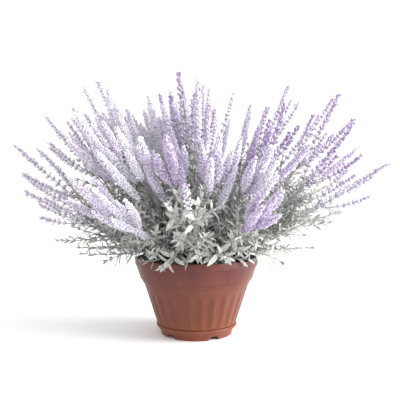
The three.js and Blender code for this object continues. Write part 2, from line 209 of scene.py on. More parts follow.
class Arc:  # a circular arc that leaves start in a direction and ends at tip
    def __init__(self, start, leave, tip):
        self.start, self.leave = np.array(start), unit(np.array(leave))
        chord = np.array(tip) - self.start
        reach = np.linalg.norm(chord)
        bend = math.acos(float(np.clip(chord @ self.leave / reach, -1, 1)))
        self.half = max(bend, 1e-3)  # never quite straight, so that the radius has an end
        self.turnTo = unit(chord - (chord @ self.leave) * self.leave + 1e-9)
        self.radius = reach / (2 * math.sin(self.half))
        self.length = self.radius * 2 * self.half

    def at(self, share):
        angle = 2 * self.half * np.asarray(share, float)[..., None]
        points = self.radius * (np.sin(angle) * self.leave + (1 - np.cos(angle)) * self.turnTo)
        return self.start + points, np.cos(angle) * self.leave + np.sin(angle) * self.turnTo


class Sweep:  # a quadratic curve through three control points
    def __init__(self, start, middle, tip):
        self.a, self.b, self.c = np.array(start), np.array(middle), np.array(tip)
        steps = self.at(np.linspace(0, 1, 20))[0]
        self.length = float(np.linalg.norm(np.diff(steps, axis=0), axis=1).sum())

    def at(self, share):
        t = np.asarray(share, float)[..., None]
        points = (1 - t) ** 2 * self.a + 2 * t * (1 - t) * self.b + t * t * self.c
        return points, unit((1 - t) * (self.b - self.a) + t * (self.c - self.b))


class Stretch:  # the part of a course between two shares of it
    def __init__(self, course, low, high):
        self.course, self.low, self.high = course, low, high
        self.length = course.length * (high - low)

    def at(self, share):
        return self.course.at(blendValues(self.low, self.high, np.asarray(share, float)))


def frameAt(course, share):  # points, and the directions along, right and front
    points, along = course.at(share)
    isUpright = abs(along.reshape(-1, 3)[0][2]) >= 0.85
    helper = np.array([1.0, 0.3, 0.1]) if isUpright else np.array([0.3, 0.2, 1.0])
    right = unit(np.cross(along, helper))
    return points, along, right, np.cross(along, right)


def standAt(course, share):  # the same at one place
    return (values[0] for values in frameAt(course, np.array([share])))


def directions(angle, first, second):  # turned from the first towards the second
    return unit(np.cos(angle)[:, None] * first + np.sin(angle)[:, None] * second)


def spokesAt(angle, right, front):
    return np.cos(angle)[:, None] * right + np.sin(angle)[:, None] * front


def turns(count):  # angles once around
    return np.arange(count) / count * 2 * np.pi


def tubeRings(course, radii, sides):
    points, _, right, front = frameAt(course, np.linspace(0, 1, len(radii)))
    spokes = spokesAt(turns(sides), right[:, None], front[:, None])
    return (points[:, None] + np.asarray(radii)[:, None, None] * spokes)[None]


leafShape = {
    "outline": (0.10, 0.34, 0.62, 0.80, 0.96, 0.86, 0.98, 0.80, 0.84, 0.56, 0.42, 0.08),  # half widths
    "fold": 0.24,  # the two halves stand up from the midrib
    "thickness": 0.045,  # of the width
    # once around the section, from edge to edge over the top and back below
    "across": (1, 0.5, 0, -0.5, -1, -0.5, 0, 0.5),
    "rise": (0, 1, -0.4, 1, 0, -1, -2.6, -1),  # in thicknesses, with the midrib sunk above
    "leanJitter": 0.16,
    "turnJitter": 0.25,
    "curlJitter": 0.3,
    "twistJitter": 0.35,
    "lengths": (0.8, 1.12),
}


def leafRings(foot, axis, face, length, width, curl, twist):
    outline = np.array(leafShape["outline"])
    steps = len(outline)
    along = np.linspace(0, 1, steps)
    side = unit(np.cross(face, axis))
    face = np.cross(axis, side)
    angle = curl[:, None] * along[None]
    bend = np.where(np.abs(curl) < 1e-3, 1e-3, curl)[:, None]
    ahead = np.sin(bend * along) / bend
    down = (1 - np.cos(bend * along)) / bend
    centre = foot[:, None] + length[:, None, None] * (
        ahead[..., None] * axis[:, None] - down[..., None] * face[:, None]
    )
    normal = np.cos(angle)[..., None] * face[:, None] + np.sin(angle)[..., None] * axis[:, None]
    tangent = np.cos(angle)[..., None] * axis[:, None] - np.sin(angle)[..., None] * face[:, None]
    roll = (twist[:, None] * along[None])[..., None]
    level = np.cross(normal, tangent)
    across = np.cos(roll) * level + np.sin(roll) * normal
    normal = np.cross(tangent, across)
    place = np.array(leafShape["across"])
    rise = np.array(leafShape["rise"]) * leafShape["thickness"] + leafShape["fold"] * np.abs(place)
    half = width[:, None, None] / 2 * outline[None, :, None]
    rings = (
        centre[:, :, None]
        + (half * place)[..., None] * across[:, :, None]
        + (half * rise)[..., None] * normal[:, :, None]
    )
    return rings, {"along": along[None, :, None], "across": np.abs(place)[None, None]}


potWall = {
    "heights": (0.10, 0.64, 0.70, 0.90, 1.0),  # shares of the pot's height
    "radii": (0.63, 0.87, 0.91, 0.98, 1.0),  # shares of the rim's radius there
    "inward": 0.0055,
    "outward": 0.0012,
}
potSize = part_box("pot")[1]


def meetsPot(points):  # True where a point is in or close to the pot's wall
    wall, rim, top = potWall, potSize.x, potSize.z
    outside = np.interp(points[..., 2] / top, wall["heights"], wall["radii"]) * rim
    radius = np.hypot(points[..., 0], points[..., 1])
    beside = (radius > outside - wall["inward"]) & (radius < outside + wall["outward"])
    return beside & (points[..., 2] < top + wall["outward"])


def growLeafPairs(growth, rng, course, shares, lengths, look):
    points, along, right, front = frameAt(course, shares)
    count = len(shares)
    start = rng.uniform(0, np.pi)
    turn = np.arange(count) * np.pi / 2 + start + rng.normal(0, leafShape["turnJitter"], count)
    # distances from the crown over which the painted shade of the inner leaves fades out
    near, far = look["innerShadeReach"]
    for flip in (0, np.pi):
        out = spokesAt(turn + flip, right, front)
        lean = look["angle"] + rng.normal(0, leafShape["leanJitter"], count)
        axis = directions(lean, along, out)
        face = directions(lean, -out, along)
        length = lengths * rng.uniform(*leafShape["lengths"], count)
        width = length * rng.uniform(*look["slimness"], count)
        curl = rng.normal(look["curl"], leafShape["curlJitter"], count)
        twist = rng.normal(0, leafShape["twistJitter"], count)
        rings, marks = leafRings(points, axis, face, length, width, curl, twist)
        away = np.linalg.norm(points - crownCentre, axis=1)
        inner = 1 - smooth((away - near) / (far - near))  # leaves near the crown are in the dark
        shade = rng.uniform(0, 1, count)
        free = ~meetsPot(rings).any(axis=(1, 2))
        if free.any():
            shade, inner = (values[free][:, None, None] for values in (shade, inner))
            growth.add(rings[free], shade=shade, inner=inner, **marks)


budShape = {
    "outline": (0.45, 1.0, 0.86, 0.26),  # radii, from the foot to the tip
    "heights": (0.0, 0.36, 0.78, 1.0),
    "sides": 6,
    "lobes": 0,
    "size": 1.0,
}
bloomShape = {
    "outline": (0.3, 0.62, 0.7, 1.35, 1.0),
    "heights": (0.0, 0.3, 0.72, 1.0, 0.86),
    "sides": 8,
    "lobes": 0.16,  # how far the open mouth goes in and out
    "tube": 0.7,  # what is wider than this has lobes, fully where it is wider by the flare
    "flare": 0.4,
    "size": 1.15,
}


def budRings(shape, foot, axis, length, thickness):
    sides = shape["sides"]
    upward, sideways = np.array([[0.0, 0.0, 1.0]]), np.array([[1.0, 0.0, 0.0]])
    helper = np.where(np.abs(axis[:, 2:]) < 0.8, upward, sideways)
    right = unit(np.cross(axis, helper))
    front = np.cross(axis, right)
    spokes = spokesAt(turns(sides), right[:, None], front[:, None])
    heights = np.array(shape["heights"])
    outline = np.array(shape["outline"])
    radius = outline[:, None] * np.ones(sides)
    if shape["lobes"]:
        opening = smooth((outline - shape["tube"]) / shape["flare"])[:, None] * (heights > 0.5)[:, None]
        radius = radius * (1 + shape["lobes"] * opening * np.cos(np.pi * np.arange(sides))[None])
    centre = foot[:, None] + (length[:, None] * heights)[..., None] * axis[:, None]
    rings = centre[:, :, None] + (thickness[:, None, None] * radius)[..., None] * spokes[:, None]
    return rings, {"along": heights[None, :, None]}


def whorlAngles(rng, perWhorl, whorls, jitter):
    turned = turns(perWhorl)[None] + (np.arange(whorls) % 2)[:, None] * np.pi / perWhorl
    return turned + rng.normal(0, jitter, (whorls, perWhorl))


fullSpike = {
    "bare": 0.18,  # share of the spike below its flowers
    "end": 0.992,
    "whorlGap": 0.0031,
    "perWhorl": 19,
    "fewest": 0.2,  # share of them on a spike without thickness
    "moreByThickness": 0.9,
    "gaps": (0.12, 0.45),  # fewer buds where the spike thins, never under the second share
    "outline": ((0, 0.12, 0.35, 0.65, 0.88, 1), (0.36, 0.72, 1, 0.86, 0.56, 0.26)),  # levels, widths
    "reach": 0.0100,  # from the axis to the outer end of a bud, where the spike is thickest
    "core": 0.60,  # of the reach
    "coreEnd": 0.985,
    "budFoot": 0.36,  # of the reach
    "axis": (0.0011, 0.0006),  # radius at the foot and at the tip
    "turnJitter": 0.09,
    "heightJitter": 0.0009,
    "lift": (0.55, 1.2),  # angle of the buds above level, at the foot and at the tip
    "liftJitter": 0.14,
    "sizes": (0.68, 1.0),  # of the buds, where the spike is thin and where it is thick
    "sizeJitter": (0.85, 1.15),
    "toneSlope": (-0.3, 0.2),
    "toneJitter": 0.08,
    "budLength": 0.0050,
    "budThickness": 0.00142,
    "bloomShare": 0.10,
}

openSpike = {
    "start": 0.06,
    "end": 0.985,
    "lowGap": 0.0152,
    "highGap": 0.0052,
    "gapSettles": 0.8,  # share of the spike where the gap between whorls stops shrinking
    "perSide": 3,
    "fan": 0.75,  # angle to each side that the buds of one side spread over
    "outline": ((0, 0.15, 0.5, 0.85, 1), (0.85, 1, 0.9, 0.62, 0.3)),
    "reach": 0.0054,
    "budFoot": (0.1, 0.3),
    "axis": (0.0010, 0.0005),
    "turnJitter": 0.12,
    "heightJitter": 0.0005,
    "lift": (0.62, 1.15),
    "liftJitter": 0.18,
    "sizes": (0.75, 1.05),
    "sizeJitter": (0.8, 1.2),
    "toneLow": 0.3,  # paler than the stem's tone at the foot
    "toneRise": 0.55,
    "toneJitter": 0.08,
    "budLength": 0.0060,
    "budThickness": 0.00145,
    "bloomShare": 0.12,
    "bractOutline": ((0, 0.5, 1), (1, 0.7, 0.3)),
    "bractLength": 0.0105,
    "bractThickness": 0.0012,
    "bractDrop": 0.006,  # below the whorl, as a share of the spike
    "bractLift": 0.55,
    "bractJitter": 0.15,
    "bractTone": 0.2,
    "wideWhorls": (20,),  # stems whose lower whorls stand out like the rungs of a ladder
    "wideGirth": 1.6,
}
budLengths, budThicknesses = (0.8, 1.2), (0.85, 1.15)  # how much they differ
ringGap = 0.006  # between the rings of a thin stalk


def thinRadii(course, thick, thin):
    return np.linspace(thick, thin, max(6, int(course.length / ringGap)))


def growAxis(growth, course, thick, thin, tone):
    rings = tubeRings(course, thinRadii(course, thick, thin), 6)
    growth.add(rings, along=0.0, shade=0.5, tone=tone, deep=0.0, green=1.0)


def placeBuds(growth, rng, foot, axis, size, tone, look):
    isBloom = rng.uniform(0, 1, len(foot)) < look["bloomShare"]
    for shape, chosen in ((budShape, ~isBloom), (bloomShape, isBloom)):
        count = int(chosen.sum())
        if not count:
            continue
        length = look["budLength"] * shape["size"] * size[chosen] * rng.uniform(*budLengths, count)
        thickness = look["budThickness"] * size[chosen] * rng.uniform(*budThicknesses, count)
        rings, marks = budRings(shape, foot[chosen], axis[chosen], length, thickness)
        marks["shade"] = rng.uniform(0, 1, (count, 1, 1))
        marks["tone"] = np.clip(tone[chosen], 0, 1)[:, None, None]
        growth.add(rings, deep=0.0, green=0.0, **marks)


def growFullSpike(growth, rng, course, thickness, tone):
    look = fullSpike
    bare = look["bare"]
    growAxis(growth, course, *look["axis"], tone)
    whorls = int(course.length * (1 - bare) / look["whorlGap"])
    share = np.linspace(bare, look["end"], whorls)
    level = (share - bare) / (1 - bare)
    width = np.interp(level, *look["outline"]) * thickness

    # a closed core, so that nobody sees through the spike
    core = Stretch(course, bare, look["coreEnd"])
    coreRadii = np.interp(np.linspace(0, 1, 24), level, width) * look["reach"] * look["core"]
    # the core's colour is a darker grey-purple, partly the flowers' own colour and partly painted shade
    # between the buds
    growth.add(tubeRings(core, coreRadii, 8), along=0.2, shade=0.3, tone=tone, deep=1.0, green=0.0)

    per = round(look["perWhorl"] * min(1, look["fewest"] + look["moreByThickness"] * thickness))
    angle = whorlAngles(rng, per, whorls, look["turnJitter"]).ravel()
    share = np.repeat(share, per) + rng.normal(0, look["heightJitter"], whorls * per) / course.length
    share, level, width = np.clip(share, 0, 1), np.repeat(level, per), np.repeat(width, per)
    spare, least = look["gaps"]
    keep = rng.uniform(0, 1, len(share)) < np.clip(width / thickness + spare, least, 1)
    share, level, width, angle = (values[keep] for values in (share, level, width, angle))
    points, along, right, front = frameAt(course, share)
    out = spokesAt(angle, right, front)
    lift = blendValues(*look["lift"], level ** 3) + rng.normal(0, look["liftJitter"], len(level))
    axis = directions(lift, out, along)
    foot = points + out * (width * look["reach"] * look["budFoot"])[:, None]
    size = blendValues(*look["sizes"], np.clip(width, 0, 1))
    size = size * rng.uniform(*look["sizeJitter"], len(level))
    slope = rng.uniform(*look["toneSlope"])
    toneHere = tone + slope * (level - 0.5) + rng.normal(0, look["toneJitter"], len(level))
    placeBuds(growth, rng, foot, axis, size, toneHere, look)


def whorlLevels(length):  # shares of an open spike at which its whorls sit, closer towards the tip
    look = openSpike
    heights, height = [], look["start"] * length
    while height < look["end"] * length:
        heights.append(height)
        shrink = smooth(height / length / look["gapSettles"])
        height += blendValues(look["lowGap"], look["highGap"], shrink)
    return np.array(heights) / length


def growOpenSpike(growth, rng, course, thickness, tone):
    look = openSpike
    growAxis(growth, course, *look["axis"], tone)
    levels = whorlLevels(course.length)
    whorls = len(levels)
    per = look["perSide"] * 2
    cross = np.arange(whorls)[:, None] * np.pi / 2
    halves = np.repeat([0, np.pi], look["perSide"])[None]
    fan = np.tile(np.linspace(-look["fan"], look["fan"], look["perSide"]), 2)[None]
    angle = (cross + halves + fan + rng.normal(0, look["turnJitter"], (whorls, per))).ravel()
    level = np.repeat(levels, per)
    share = level + rng.normal(0, look["heightJitter"], whorls * per) / course.length
    points, along, right, front = frameAt(course, np.clip(share, 0, 1))
    out = spokesAt(angle, right, front)
    width = np.interp(level, *look["outline"]) * thickness
    lift = blendValues(*look["lift"], level ** 2) + rng.normal(0, look["liftJitter"], len(level))
    axis = directions(lift, out, along)
    foot = points + out * (width * look["reach"] * rng.uniform(*look["budFoot"], len(level)))[:, None]
    size = blendValues(*look["sizes"], np.clip(width, 0, 1))
    size = size * rng.uniform(*look["sizeJitter"], len(level))
    jitter = rng.normal(0, look["toneJitter"], len(level))
    toneHere = tone - look["toneLow"] + look["toneRise"] * level + jitter
    placeBuds(growth, rng, foot, axis, size, toneHere, look)
    growBracts(growth, rng, course, levels, thickness)


def growBracts(growth, rng, course, levels, thickness):  # a pair of small leaves below each whorl
    look = openSpike
    count = len(levels) * 2
    level = np.repeat(levels, 2)
    points, along, right, front = frameAt(course, np.clip(level - look["bractDrop"], 0, 1))
    cross = np.repeat(np.arange(len(levels)) * np.pi / 2, 2) + np.tile([0, np.pi], len(levels))
    out = spokesAt(cross + rng.normal(0, look["bractJitter"], count), right, front)
    axis = directions(look["bractLift"] + rng.normal(0, look["bractJitter"], count), out, along)
    length = look["bractLength"] * np.interp(level, *look["bractOutline"]) * thickness
    thicknesses = np.full(count, look["bractThickness"]) * thickness
    rings, marks = budRings(budShape, points, axis, length, thicknesses)
    marks["along"] = 0.0
    marks["shade"] = rng.uniform(0, 1, (count, 1, 1))
    growth.add(rings, tone=look["bractTone"], deep=0.0, green=1.0, **marks)


leafPaint = {
    "shaded": tint(126, 129, 119),
    "silver": tint(188, 190, 184),
    "felt": tint(206, 206, 206),
    "rib": tint(200, 201, 198),
    "edge": tint(208, 208, 210),
    # painted shade: the dark colour at each leaf's foot, which lies hidden in the plant
    "foot": tint(78, 78, 68),
    # painted shade: near black, for leaves near the crown, inside the plant
    "inner": tint(36, 36, 31),
    "patchScale": 420,
    "grainScale": 2600,
    "veins": 58,
    "veinSlant": 9,
    "sheen": 0.2,
}


def paintLeaf():
    look = leafPaint
    paint = Paint("silver leaf")
    shade, along, across = (paint.attribute(name) for name in ("shade", "along", "across"))
    patch = paint.noise(look["patchScale"], 4, 0.6)
    grain = paint.noise(look["grainScale"], 2, 0.7)
    green = paint.mix(shade, look["shaded"], look["silver"])
    felt = paint.mix(paint.band(patch, 0.35, 0.68) * 0.55, green, look["felt"])
    rib = 1 - paint.band(across, 0.04, 0.2)
    ribbed = paint.mix(rib * 0.5, felt, look["rib"])
    edged = paint.mix(paint.band(across, 0.75, 1.0) * 0.4, ribbed, look["edge"])
    # painted shade: each leaf darkens towards its foot, where the plant shades it
    foot = 1 - paint.band(along, 0.0, 0.3)
    footShaded = paint.mix(foot * 0.75, edged, look["foot"])
    # painted shade: leaves near the crown are darkened towards near black
    colour = paint.mix(paint.attribute("inner") * 0.85, footShaded, look["inner"])
    phase = along * look["veins"] - across * look["veinSlant"]
    veins = paint.node("Math", {"operation": "SINE"}, {0: phase})
    return paint.surface({
        "Base Color": colour,
        "Roughness": 0.78 + patch * 0.16,
        "Specular IOR Level": 0.2,
        "Sheen Weight": look["sheen"],
        "Sheen Roughness": 0.5,
        "Normal": paint.bump(grain * 0.6 + veins * 0.25 + rib * -0.6, 0.5, 0.0003),
    })


stemPaint = {
    "shaded": tint(142, 144, 134),
    "silver": tint(190, 191, 188),
    "wood": tint(104, 96, 84),
    "streakScale": 900,
    "downScale": 3200,
    "sheen": 0.4,
}


def paintStem():
    look = stemPaint
    paint = Paint("silver stem")
    streak = paint.noise(look["streakScale"], 3, 0.6, (1, 1, 0.25))
    down = paint.noise(look["downScale"], 2, 0.7)
    woody = 1 - paint.band(paint.attribute("along"), 0.0, 0.3)
    green = paint.mix(paint.band(streak, 0.3, 0.7), look["shaded"], look["silver"])
    return paint.surface({
        "Base Color": paint.mix(woody * 0.8, green, look["wood"]),
        "Roughness": 0.7 + down * 0.25,
        "Specular IOR Level": 0.25,
        "Sheen Weight": look["sheen"],
        "Sheen Roughness": 0.5,
        "Normal": paint.bump(streak + down * 0.5, 0.45, 0.0003),
    })


flowerPaint = {
    "petals": [  # from tone 0 to tone 1
        (0.0, tint(235, 233, 239)),
        (0.3, tint(227, 221, 235)),
        (0.6, tint(211, 198, 223)),
        (0.85, tint(178, 154, 199)),
        (1.0, tint(126, 99, 153)),
    ],
    # partly painted shade: the calyces' own grey-purple, darkened for the shade between the buds
    "calyx": (tint(202, 199, 206), tint(146, 127, 162)),  # pale and dark
    # partly painted shade: the core stands for the shaded gaps between the buds
    "core": (tint(198, 194, 206), tint(144, 125, 164)),
    "wool": tint(222, 219, 230),
    "bract": tint(168, 168, 165),
    "woolScale": 3400,
    "budContrast": 0.24,  # between one bud and the next
    "sheen": 0.2,
}


def paintFlower():
    look = flowerPaint
    paint = Paint("lilac flower")
    shade, along, tone, green = (paint.attribute(name) for name in ("shade", "along", "tone", "green"))
    wool = paint.noise(look["woolScale"], 2, 0.7)
    mixedTone = tone + (shade - 0.5) * look["budContrast"]
    petal = paint.ramp(mixedTone, look["petals"])
    # partly painted shade: the darker calyx at each bud's foot also stands for the shade between the
    # buds
    calyx = paint.mix(mixedTone, *look["calyx"])
    flower = paint.mix(paint.band(along, 0.15, 0.7), calyx, petal)
    frosted = paint.mix(paint.band(wool, 0.5, 0.75) * 0.3, flower, look["wool"])
    leafy = paint.mix(green * 0.8, frosted, look["bract"])
    # partly painted shade: where the core shows between the buds it takes this darker colour
    core = paint.mix(mixedTone, *look["core"])
    return paint.surface({
        "Base Color": paint.mix(paint.attribute("deep"), leafy, core),
        "Roughness": 0.75 + wool * 0.2,
        "Specular IOR Level": 0.2,
        "Sheen Weight": look["sheen"],
        "Sheen Roughness": 0.45,
        "Normal": paint.bump(wool, 0.3, 0.0003),
    })


def nodePoints(name):
    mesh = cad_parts[name].data
    points = np.empty(len(mesh.vertices) * 3, dtype=np.float32)
    mesh.vertices.foreach_get("co", points)
    return points.reshape(-1, 3).astype(float)


sameRing = 0.0004  # vertices whose distances to the crown differ less are one ring
samePlace = 1e-6  # vertices closer than this are one vertex
sameTip = 0.004  # and closer than this, one tip


def ringFoot(points, centre):  # middle of the vertices nearest to the crown's centre
    away = np.linalg.norm(points - centre, axis=1)
    ring = points[away < away.min() + sameRing]
    return (ring.min(0) + ring.max(0)) / 2


def spikeTips(name, direction):  # vertices that no neighbour passes in the direction
    mesh = bmesh.new()
    mesh.from_mesh(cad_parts[name].data)
    bmesh.ops.remove_doubles(mesh, verts=mesh.verts, dist=samePlace)
    ahead = {v: float(np.dot(v.co, direction)) for v in mesh.verts}
    tips = [
        np.array(v.co)
        for v in mesh.verts
        if all(ahead[edge.other_vert(v)] < ahead[v] for edge in v.link_edges)
    ]
    mesh.free()
    return tips


crown = {
    "node": "crown",
    "ridge": 0.00036,  # height of the bark's ridges
    "ridges": ((13, 90, 1), (29, -150, 0.6)),  # around, up and strength
    "ridgeStart": 0.006,  # from the axis, where the top's ridges are full
    "neckRadius": 0.0066,
    "neckAngle": 130,  # from the top, where the dome meets the neck
    "step": 0.0018,
    "segments": 120,
}
crownLow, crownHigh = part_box(crown["node"])
crownRadius = (crownHigh.x - crownLow.x) / 2
crownCentre = np.array([0, 0, crownHigh.z - crownRadius])


twig = {
    "tipRadius": 0.45,  # of the radius at its foot
    "leafEnd": 0.97,
    "leafLengths": ((0, 0.35, 0.8, 1), (0.75, 1, 0.75, 0.45)),  # shares of its course, lengths
    "tipPairs": (0.985, 1.0),
    "tipLength": 0.42,
    "tipAngle": 0.35,
    "woodTone": 0.4,
}


class Foliage:  # the wood and the leaves of one node
    def __init__(self, seed):
        self.rng = np.random.default_rng(seed)
        self.wood, self.leaves = Growth(), Growth()

    def addTwig(self, course, footRadius, leaf, leafLength):
        if meetsPot(course.at(np.linspace(0, 1, 40))[0]).any():
            return
        radii = thinRadii(course, footRadius, footRadius * twig["tipRadius"])
        self.wood.add(tubeRings(course, radii, 6), along=twig["woodTone"])
        shares = np.arange(leaf["first"], twig["leafEnd"], leaf["gap"] / course.length)
        lengths = leafLength * np.interp(shares, *twig["leafLengths"])
        growLeafPairs(self.leaves, self.rng, course, shares, lengths, leaf)
        tips = np.array(twig["tipPairs"])
        lengths = np.full(len(tips), leafLength * twig["tipLength"])
        growLeafPairs(self.leaves, self.rng, course, tips, lengths, dict(leaf, angle=twig["tipAngle"]))

    def finish(self, woodName, leavesName, node):
        finishPiece(self.wood.build(woodName, materials["stem"]), "silver_stem", node)
        finishPiece(self.leaves.build(leavesName, materials["leaf"]), "silver_leaf", node)


floweringStem = {
    "count": 24,
    "seed": 1000,
    "footRadius": 0.0021,
    "topRadius": 0.0010,
    "radiusEase": 0.6,  # thins quickly at first
    "flowerShare": 0.44,  # of the whole shoot
    "longFlowers": {8: 0.66, 13: 0.54},  # the same, for stems that flower further down
    "fullSpikes": (5, 6, 7, 8, 9, 10, 12, 13, 14, 22, 23),
    # from 0, nearly white, to 1, dark purple
    "tones": (
        0.36, 0.30, 0.24, 0.24, 0.30, 0.20, 0.38, 0.14, 0.12, 0.56, 0.34, 0.44,
        0.62, 0.36, 0.46, 0.62, 0.74, 0.46, 0.62, 0.60, 0.34, 0.16, 0.28, 0.30,
    ),
    # thickness of the spikes, against the usual one
    "girths": (
        1.0, 1.0, 0.95, 0.95, 1.05, 1.05, 0.76, 0.62, 1.05, 1.0, 0.9, 1.0,
        0.85, 1.05, 1.05, 1.15, 1.1, 1.0, 1.2, 1.2, 1.0, 1.05, 1.0, 1.0,
    ),
    "leafGap": 0.0108,
    "leafLow": 0.034,  # leaf lengths, at the foot and under the flowers
    "leafHigh": 0.021,
    "leafLengths": ((0, 0.3), (0.7, 1)),
    "firstLeaf": 0.12,
    "leaf": {"angle": 0.85, "curl": 0.35, "slimness": (0.20, 0.29), "innerShadeReach": (0.05, 0.118)},
}

sideSpike = {
    "branches": ((0.007, 0.74), (0.010, 0.60), (0.014, 0.74), (0.017, 0.60)),  # height, length share
    "angle": math.radians(38),
    "turn": 0.4,
    "girth": 0.85,  # of the main spike's
    "toneJitter": 0.06,
    "leafyFeet": {11: 0.4},  # main spikes that start with leaves, up to this share, with leafy sides
    "leafLength": 0.027,
    "leaf": {
        "angle": 0.6, "curl": 0.2, "slimness": (0.27, 0.35), "innerShadeReach": (0.05, 0.135),
        "first": 0.12, "gap": 0.0125,
    },
}

# more flower spikes, each on a leafy stalk of its own from lower down the stem
spray = {
    "counts": (0, 1, 1, 5, 2, 7, 0, 0, 3, 3, 0, 3, 0, 3, 0, 1, 4, 3, 2, 6, 8, 7, 5, 4),
    "shares": (0.20, 0.50),  # where they leave the stem
    "turnStep": 2.4,
    "turnByStem": 1.3,
    "angle": (0.28, 0.58),
    "reach": (0.80, 0.97),  # how far they get, as a share of the stem's own reach
    "turn": 0.45,
    "straighten": 0.35,  # towards the stem's direction
    "rise": 0.12,
    "flowers": 0.11,  # length of a spray's flowers
    "shortestStalk": 0.25,
    "tone": 0.85,  # of the stem's own tone
    "toneJitter": 0.08,
    "girths": (0.8, 0.74),  # every other spray is full and slim
    "leafLength": 0.02,
}

branchlet = {
    "count": 12,
    "feathery": (1, 2, 15, 16, 19),  # stems with more and longer side twigs
    "more": 7,
    "longer": 1.3,
    "shares": (0.2, 0.93),
    "jitter": 0.8,
    "turnStep": 2.4,
    "lengths": (0.030, 0.066),
    "lengthByShare": (1.7, 0.75),
    "spread": (0.7, 1.1),
    "straighten": 1.3,
    "rise": 0.15,
    "turn": 0.5,
    "radius": 0.0012,
    "leafLengths": (0.016, 0.022),
    "leaf": {
        "angle": 0.8, "curl": 0.25, "slimness": (0.2, 0.29), "innerShadeReach": (0.05, 0.118),
        "first": 0.12, "gap": 0.0085,
    },
}


def upwards(amount):
    return np.array([0, 0, amount])


def sideCourse(main, tip):  # from the height on the main spike that suits the side spike's length
    fits = []
    for height, share in sideSpike["branches"]:
        start, along = main.at(height / main.length)
        reach = tip - start
        aside = unit(reach - (reach @ along) * along)
        leave = math.cos(sideSpike["angle"]) * along + math.sin(sideSpike["angle"]) * aside
        course = Sweep(start, start + leave * sideSpike["turn"] * np.linalg.norm(reach), tip)
        fits.append((abs(course.length - share * main.length), course))
    return min(fits, key=lambda fit: fit[0])[1]


